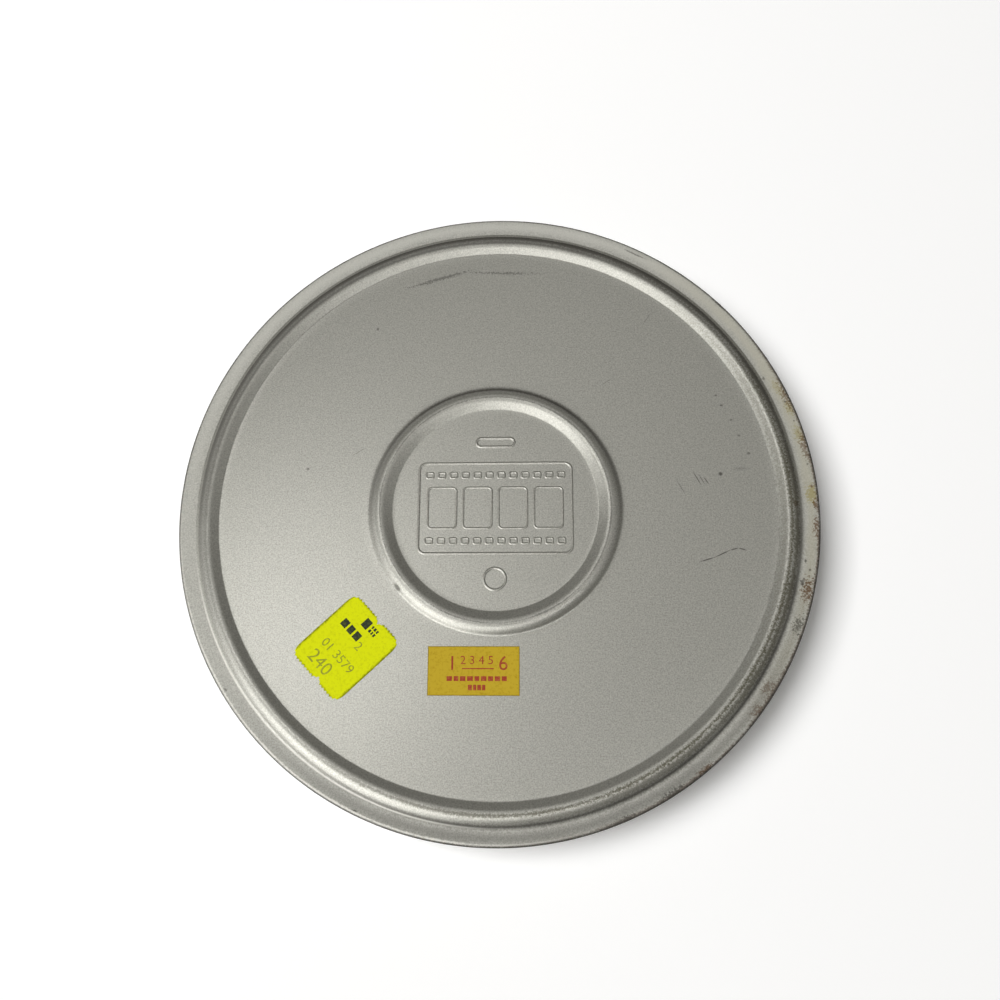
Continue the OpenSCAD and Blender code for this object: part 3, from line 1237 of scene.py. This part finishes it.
@dataclass
class Reel:
    """The reel, whose solids keep their shapes, and the length scale moulded on one spoke."""

    top_z: float
    boss_h: float = 0.4
    nodes: tuple[str, ...] = ("reel_lower_flange", "reel_upper_flange", "reel_core")
    marks: int = 8
    first_r: float = 42.0
    last_r: float = 76.0
    feet_each: int = 50
    tick_w: float = 4.0
    tick_h: float = 0.5
    tick_x: float = -3.6
    figure_x: float = 2.6
    figure_h: float = 2.2
    raised: float = 0.15
    sunk: float = 0.1

    def scale(self) -> Shape:
        """Sets a raised tick and a plain figure at each step of the scale, along -Y.

        Returns:
            The vertices and the faces.
        """
        items = []
        for step, r in enumerate(np.linspace(self.first_r, self.last_r, self.marks), start=1):
            items.append(Bar(self.tick_x, -r, self.tick_w, self.tick_h))
            items.append(Figures(str(step * self.feet_each), self.figure_x, -r, self.figure_h))
        shape = joined([item.solid(-self.sunk, self.raised) for item in items])
        return moved(shape, 0.0, 0.0, self.top_z - self.boss_h)

    def build(self, plastic: Material) -> list[Object]:
        """Gives the reel's solids the moulded plastic and makes the scale in it.

        Args:
            plastic: the reel's finish.

        Returns:
            The solids and the scale.
        """
        solids = [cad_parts[name] for name in self.nodes]
        for solid in solids:
            solid.data.materials.clear()
            solid.data.materials.append(plastic)
        scale = add_piece("reel_scale", self.scale(), Body.REEL, plastic, False)
        return [*solids, scale]


class LightUse(Enum):
    """What a softbox is for: the even light on everything, or the sheen on lacquer alone."""

    WASH = "wash"
    SHEEN = "sheen"


@dataclass(frozen=True)
class Softbox:
    """A square soft light, placed by direction and distance from the lid's middle."""

    name: str
    azimuth: float
    elevation: float
    width: float
    radiance: float
    use: LightUse = LightUse.SHEEN
    distance: float = 1.2

    def build(self, target: Vector) -> None:
        """Makes the light, turned towards the lid.

        Args:
            target: the lid's middle, in metres.
        """
        light = bpy.data.lights.new(self.name, "AREA")
        light.shape = "SQUARE"
        light.size = self.width
        light.energy = self.radiance * np.pi * self.width ** 2
        a, e = np.radians(self.azimuth), np.radians(self.elevation)
        away = Vector((np.cos(e) * np.cos(a), np.cos(e) * np.sin(a), np.sin(e)))
        holder = bpy.data.objects.new(self.name, light)
        holder.location = target + away * self.distance
        holder.rotation_euler = away.to_track_quat("Z", "Y").to_euler()
        holder.visible_diffuse = self.use is LightUse.WASH
        holder.visible_glossy = self.use is LightUse.SHEEN
        bpy.context.scene.collection.objects.link(holder)


@dataclass
class Studio:
    """The camera of the photograph, soft lights and a pale floor."""

    level: float
    eye: tuple[float, float, float] = (12.14, -58.31, 247.14)
    aim: tuple[float, float] = (1.39, 2.28)
    roll: float = 0.25
    lens: float = 31.84
    sensor: float = 36.0
    nearest_m: float = 0.01
    floor_r: float = 1500.0
    floor_z: float = -0.1
    floor_sides: int = 96
    floor_white: tuple[float, float, float, float] = (0.9, 0.9, 0.9, 1.0)
    floor_glow: float = 0.18
    softboxes: tuple[Softbox, ...] = (
        Softbox("key", 172.0, 60.0, 1.2, 13.6, LightUse.WASH, 2.4),
        Softbox("card_left", 230.0, 34.6, 1.0, 3.43),
        Softbox("card_low_left", 190.0, 20.0, 0.9, 1.2),
        Softbox("card_overhead", 172.0, 71.7, 0.25, 9.5),
        Softbox("card_front", 307.0, 59.8, 0.25, 6.6),
        Softbox("card_front_left", 270.0, 49.0, 0.3, 4.4),
        Softbox("card_back", 91.0, 67.0, 0.88, 0.58),
        Softbox("card_right", 354.7, 46.8, 1.09, 0.37),
    )
    world: str = "3E3B32"
    horizon: tuple[float, float] = (24.0, 12.0)
    horizon_mirrored: float = 0.15

    def camera(self) -> None:
        """Stands the camera at the eye, aimed at the lid's plane, and rolls it a little."""
        eye = Vector(self.eye) + Vector((0, 0, self.level))
        back = (eye - Vector((*self.aim, self.level))).normalized()
        right = Vector((0, 1, 0)).cross(back).normalized()
        upright = Matrix((right, back.cross(right), back)).transposed()
        turn = upright @ Matrix.Rotation(np.radians(self.roll), 3, "Z")
        data = bpy.data.cameras.new("photograph_view")
        data.lens = self.lens
        data.sensor_width = self.sensor
        data.clip_start = self.nearest_m
        holder = bpy.data.objects.new("photograph_view", data)
        holder.matrix_world = Matrix.Translation(eye * MM) @ turn.to_4x4()
        bpy.context.scene.collection.objects.link(holder)
        bpy.context.scene.camera = holder

    def floor(self) -> None:
        """Lays a round pale floor just under the can, which the camera sees a little brighter."""
        material, tree = empty_material("white_paper_sweep")
        white = add_node(tree, "BsdfDiffuse", {"Color": self.floor_white})
        glow = {"Color": linear("FFFFFF"), "Strength": self.floor_glow}
        both = add_node(tree, "AddShader", {0: white, 1: add_node(tree, "Emission", glow)})
        shown = add_node(tree, "MixShader", {0: looked_at(tree), 1: white, 2: both})
        add_node(tree, "OutputMaterial", {"Surface": shown})
        ring = arc((0, 0), self.floor_r, 0, 360, self.floor_sides + 1)[:-1]
        mesh = bpy.data.meshes.new("floor")
        points = np.column_stack([ring, np.full(len(ring), self.floor_z)]) * MM
        mesh.from_pydata(points.tolist(), [], [list(range(len(ring)))])
        mesh.materials.append(material)
        holder = bpy.data.objects.new("floor", mesh)
        bpy.context.scene.collection.objects.link(holder)

    def room(self) -> None:
        """Gives the room its even light, and a white horizon that is dimmer in reflections."""
        scene = bpy.context.scene
        scene.world = scene.world or bpy.data.worlds.new("room")
        scene.world.use_nodes = True
        tree = scene.world.node_tree
        tree.nodes.clear()
        towards = add_node(tree, "TexCoord", out="Generated")
        rise = add_node(tree, "SeparateXYZ", {0: towards}, "Z")
        top, bottom = np.sin(np.radians(self.horizon))
        low, seen = faded(tree, rise, bottom, top), looked_at(tree, self.horizon_mirrored)
        share = add_node(tree, "Math", {0: low, 1: seen}, operation="MULTIPLY")
        tones = {0: share, 6: linear(self.world), 7: linear("FFFFFF")}
        colour = add_node(tree, "Mix", tones, 2, data_type="RGBA")
        shown = add_node(tree, "Background", {"Color": colour, "Strength": 1.0})
        add_node(tree, "OutputWorld", {"Surface": shown})

    def build(self) -> None:
        """Makes the camera, the floor, the room and the lights."""
        bpy.context.scene.view_settings.view_transform = "Standard"
        self.camera()
        self.floor()
        self.room()
        target = Vector((0, 0, self.level * MM))
        for softbox in self.softboxes:
            softbox.build(target)


def lid_rings(face: PressedFace, edge: float) -> tuple[Ring, ...]:
    """Gives the lid's rings: rubbed crests, dirt, stains, rust, painted shade and highlights.

    Each row is a ring's radius, height, half width, strength, raggedness and patchiness, and its
    azimuth and spread, unless it goes all round.

    Args:
        face: the lid's pressed face.
        edge: how far the rim's edge stands above the flat.

    Returns:
        The rings.
    """
    lid, foot, outer, inner = face.lid_r, face.foot_r, face.outer_r, face.inner_r
    crest, hollow = face.bead_h, face.outer_r - face.outer_in_w
    rim = lid - face.rim_w / 2
    wear_and_painted_light = {
        # weathered lacquer, which also paints the rim lighter towards +Y as painted light
        Tone.CHALK_AND_PAINTED_LIGHT: ((rim, edge / 2, 2.8, 0.65, 0.5, 0.5, 82.0, 130.0),),
        Tone.STAIN: ((rim, edge / 2, 2.8, 0.2, 1.0, 1.0, 10.0, 60.0),),
        Tone.RUST: ((lid - 0.6, edge - 0.1, 0.8, 0.6, 3.0, 2.5, 340.0, 80.0),),
        Tone.SOIL: (
            (outer + 0.35, crest, 0.85, 0.8, 3.5, 1.0, 330.0, 130.0),
            (foot - 2.0, 1.1, 1.6, 0.75, 2.5, 1.0, 0.0, 110.0),
            ((outer + hollow) / 2, crest / 2, 1.6, 0.35, 4.0, 1.0, 5.0, 60.0),
        ),
        Tone.GRIME_AND_PAINTED_SHADE: (
            (outer + 0.2, crest, 1.0, 0.75, 0.8, 0.4, 120.0, 120.0),
            # painted shade on the inner bead's outer slope towards +Y, which faces away from the
            # lights
            (inner + 2.6, 0.5, 1.7, 1.0, 0.8, 0.4, 95.0, 145.0),
            (inner - 0.05, crest, 0.3, 0.55, 3.0, 2.5),
            # painted shade on the outer bead's outer slope towards +Y, and in its foot towards +X
            # and -Y
            (foot - 1.5, 0.8, 1.2, 1.1, 0.6, 0.3, 95.0, 140.0),
            (foot - 2.2, 1.2, 1.6, 0.9, 0.6, 0.3, 105.0, 130.0),
            (foot - 0.45, 0.2, 1.2, 0.95, 0.8, 0.4, 300.0, 85.0),
            # a faint dark line all round, in the hollow at the outer bead's inner foot
            (hollow + 0.15, 0.05, 0.3, 0.35, 0.5, 0.5),
            # painted shade: the rim darker towards -Y
            (rim, edge / 2, 2.8, 0.5, 0.3, 0.5, 282.0, 75.0),
            # painted shade: a dark line where the edge turns down, all round and heavier towards
            # +X and +Y
            (lid - 0.2, edge - 0.5, 1.2, 0.95, 1.5, 0.6, 335.0, 125.0),
            (lid - 0.1, edge - 0.4, 0.75, 0.9, 1.0, 0.5),
            (lid - 0.35, edge - 0.05, 0.6, 1.2, 0.6, 0.4, 110.0, 140.0),
        ),
        # painted highlights: pale lines on the edge and in the outer foot towards -X and -Y
        Tone.PAINTED_HIGHLIGHT: (
            (lid - 0.9, edge, 0.35, 0.8, 3.0, 1.5, 232.0, 60.0),
            (foot - 0.1, 0.0, 0.4, 0.8, 0.8, 0.5, 230.0, 45.0),
        ),
    }
    return tuple(Ring(tone, *row) for tone, rows in wear_and_painted_light.items() for row in rows)


# Smudges and spots on the flat: x, y, turn, length, width, strength and grit.
FLAT_MARKS = (
    (-17.0, 72.5, 16.0, 22.0, 1.6, 0.65, 3.5),
    (3.0, 74.0, -2.0, 24.0, 1.1, 0.6, 3.5),
    (64.7, 9.6, 0.0, 1.6, 1.6, 0.9, 0.0),
    (66.0, 30.4, 0.0, 1.4, 0.9, 0.7, 0.0),
    (64.6, 33.5, 0.0, 1.1, 0.8, 0.6, 0.0),
    (68.6, 25.9, 0.0, 1.2, 0.8, 0.6, 0.0),
    (70.6, 21.1, 0.0, 1.2, 0.8, 0.6, 0.0),
    (73.0, 15.7, 0.0, 1.5, 1.1, 0.7, 0.0),
    (-36.0, 56.0, 0.0, 1.2, 1.2, 0.6, 0.0),
    (-55.0, 12.0, 0.0, 1.2, 1.2, 0.6, 0.0),
    (-27.5, -23.0, 130.0, 4.0, 2.0, 0.6, 1.0),
    (-33.2, 4.0, 92.0, 5.0, 0.8, 0.6, 1.0),
    (70.5, 11.1, 0.0, 7.0, 1.6, 0.25, 1.0),
)

# Scratches on the flat: points, width and strength.
SCRATCHES = (
    (((57.6, -15.9), (61.9, -14.6), (66.2, -12.6), (68.5, -12.0), (70.7, -12.6)), 0.5, 0.85),
    (((56.9, 10.3), (59.1, 6.3)), 0.5, 0.7),
    (((58.4, 9.6), (60.2, 6.4)), 0.5, 0.55),
    (((59.8, 8.8), (61.3, 6.5)), 0.5, 0.7),
    (((52.0, 8.0), (54.5, 3.5)), 0.45, 0.45),
    (((-42.0, 16.0), (-38.0, 18.5)), 0.35, 0.4),
    (((31.0, 37.0), (35.0, 39.5)), 0.35, 0.35),
    (((44.0, 56.0), (46.5, 60.0)), 0.35, 0.35),
)

# Marks on the rim: azimuth, radius, length, width, strength and grit.
RIM_MARKS = {
    Tone.STAIN: (
        (19.0, 90.4, 7.0, 3.4, 0.5, 2.5),
        (13.7, 90.2, 7.5, 3.4, 0.5, 2.5),
        (23.1, 89.9, 8.0, 3.2, 0.35, 2.5),
        (2.2, 90.0, 7.5, 4.2, 0.65, 2.5),
    ),
    Tone.RUST: (
        (11.0, 90.5, 9.0, 2.4, 0.6, 6.0),
        (21.0, 90.6, 9.0, 2.2, 0.55, 6.0),
        (344.6, 90.0, 7.5, 3.6, 0.85, 5.0),
        (356.3, 90.6, 6.5, 2.2, 0.75, 5.0),
        (0.1, 90.9, 5.0, 2.0, 0.75, 4.0),
        (325.7, 89.5, 5.0, 3.0, 0.55, 5.0),
        (321.3, 90.4, 5.0, 3.0, 0.55, 5.0),
        (308.0, 91.1, 7.0, 2.0, 0.8, 2.5),
        (0.4, 85.0, 3.5, 3.0, 0.6, 2.0),
        (3.6, 90.2, 1.2, 1.0, 0.75, 0.0),
    ),
    Tone.GRIME_AND_PAINTED_SHADE: (
        (62.0, 90.0, 10.0, 0.7, 0.6, 2.0),
        (43.0, 91.2, 7.0, 0.8, 0.7, 1.5),
        (338.0, 89.9, 6.0, 2.6, 0.7, 5.0),
        (301.5, 91.0, 9.0, 2.4, 0.7, 4.0),
        (292.3, 91.2, 7.0, 2.0, 0.6, 4.0),
        (26.1, 87.7, 1.6, 1.0, 0.6, 1.0),
        (20.3, 89.9, 0.9, 0.9, 0.7, 0.0),
        (16.3, 90.1, 0.8, 0.8, 0.6, 0.0),
        (7.8, 90.2, 0.9, 0.9, 0.6, 0.0),
        (349.7, 88.2, 1.4, 0.9, 0.75, 0.0),
        (348.2, 89.6, 1.1, 0.9, 0.75, 0.0),
        (345.7, 88.2, 2.5, 1.5, 0.75, 3.0),
        (214.7, 90.4, 1.6, 1.0, 0.6, 1.0),
        (245.9, 90.7, 2.0, 0.8, 0.8, 1.0),
    ),
}

LID_MARKS = (
    *(Mark(*row) for row in FLAT_MARKS),
    *(mark for row in SCRATCHES for mark in Mark.stroke(*row)),
    *(Mark.on_rim(*row, tone) for tone, rows in RIM_MARKS.items() for row in rows),
)


def main() -> None:
    """Builds the can's pieces in order, from the lid down to the reel, and then the studio."""
    logging.basicConfig(level=logging.INFO, format="%(message)s")
    lid_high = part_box("can_lid")[1] / MM
    base_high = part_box("can_base")[1] / MM
    flange_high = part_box("reel_upper_flange")[1] / MM
    title_middle = sum(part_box("title_label"), Vector()) / 2 / MM
    price_middle = sum(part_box("price_label"), Vector()) / 2 / MM
    face = PressedFace(lid_r=round(lid_high.x, 2))
    level = lid_high.z - face.bead_h
    lid = CanLid(face, level)
    base = CanBase(face, round(base_high.x, 2), base_high.z)
    title = TitleLabel(*title_middle.xy, level, width=25.4, height=13.4)
    price = PriceLabel(*price_middle.xy, level, width=19.4, height=24.3, turn=-47.0)
    rings = lid_rings(face, lid.rim_rise)
    lid_lacquer = SilverLacquer(face.foot_r, level, rings, LID_MARKS).material()
    base_lacquer = SilverLacquer(
        face.foot_r, name="silver_aluminium_lacquer_on_the_base"
    ).material()
    gold = LabelPaper(
        "gold_gloss_label_paper", ("B0931D", "C1A52A"), "6E5F12", 0.35, label=title
    ).material()
    yellow = LabelPaper(
        "fluorescent_yellow_label_paper", ("CDD300", "DDE400"), "5C5E04", 0.9, label=price
    ).material()
    red = PrintInk("dark_red_letterpress_ink", ("96300F", "AE642A")).material()
    black = PrintInk("green_black_letterpress_ink", ("15200A", "4A5208")).material()
    olive = PrintInk("faded_olive_stamp_ink", ("8F9410", "B9BF08")).material()
    pieces = [
        *lid.build(lid_lacquer),
        *Emblem(level).build(lid_lacquer),
        *title.build(gold, red),
        *price.build(yellow, black, olive),
        *base.build(base_lacquer),
        *Reel(flange_high.z).build(MouldedPlastic().material()),
    ]
    for piece in pieces:
        finish = piece.data.materials[0].name
        log.info("%s: %d faces in %s", piece.name, len(piece.data.polygons), finish)
    Studio(level).build()


if __name__ == "__main__":
    main()
